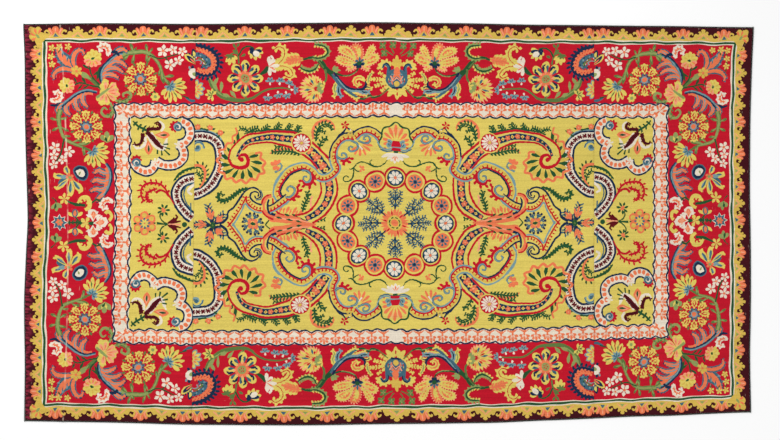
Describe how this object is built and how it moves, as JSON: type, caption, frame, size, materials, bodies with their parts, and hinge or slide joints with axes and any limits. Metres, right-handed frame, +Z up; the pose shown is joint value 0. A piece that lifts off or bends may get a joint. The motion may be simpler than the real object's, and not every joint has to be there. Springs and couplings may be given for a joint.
{
  "type": "carpet",
  "caption": "Long flat room carpet in three joined panels, with uneven edges, low creases and an overcast cord round its edge.",
  "frame": {"origin": "middle of the carpet's box, on the surface it lies on", "axes": "+X along the long side, +Y across it to the back edge, +Z up out of the pile"},
  "size_m": [5.263, 2.9048, 0.014],
  "materials": {
    "carpet_wool": "matt, short cut wool in many yarn colours, red border and yellow field",
    "edge_yarn": "matt dark yarn, overcast close over a cord"
  },
  "bodies": {
    "root": {"left_panel": "carpet_wool", "centre_panel": "carpet_wool", "right_panel": "carpet_wool", "left_end_cord": "edge_yarn", "right_end_cord": "edge_yarn", "left_back_cord": "edge_yarn", "centre_back_cord": "edge_yarn", "right_back_cord": "edge_yarn", "left_front_cord": "edge_yarn", "centre_front_cord": "edge_yarn", "right_front_cord": "edge_yarn"}
  },
  "joints": []
}
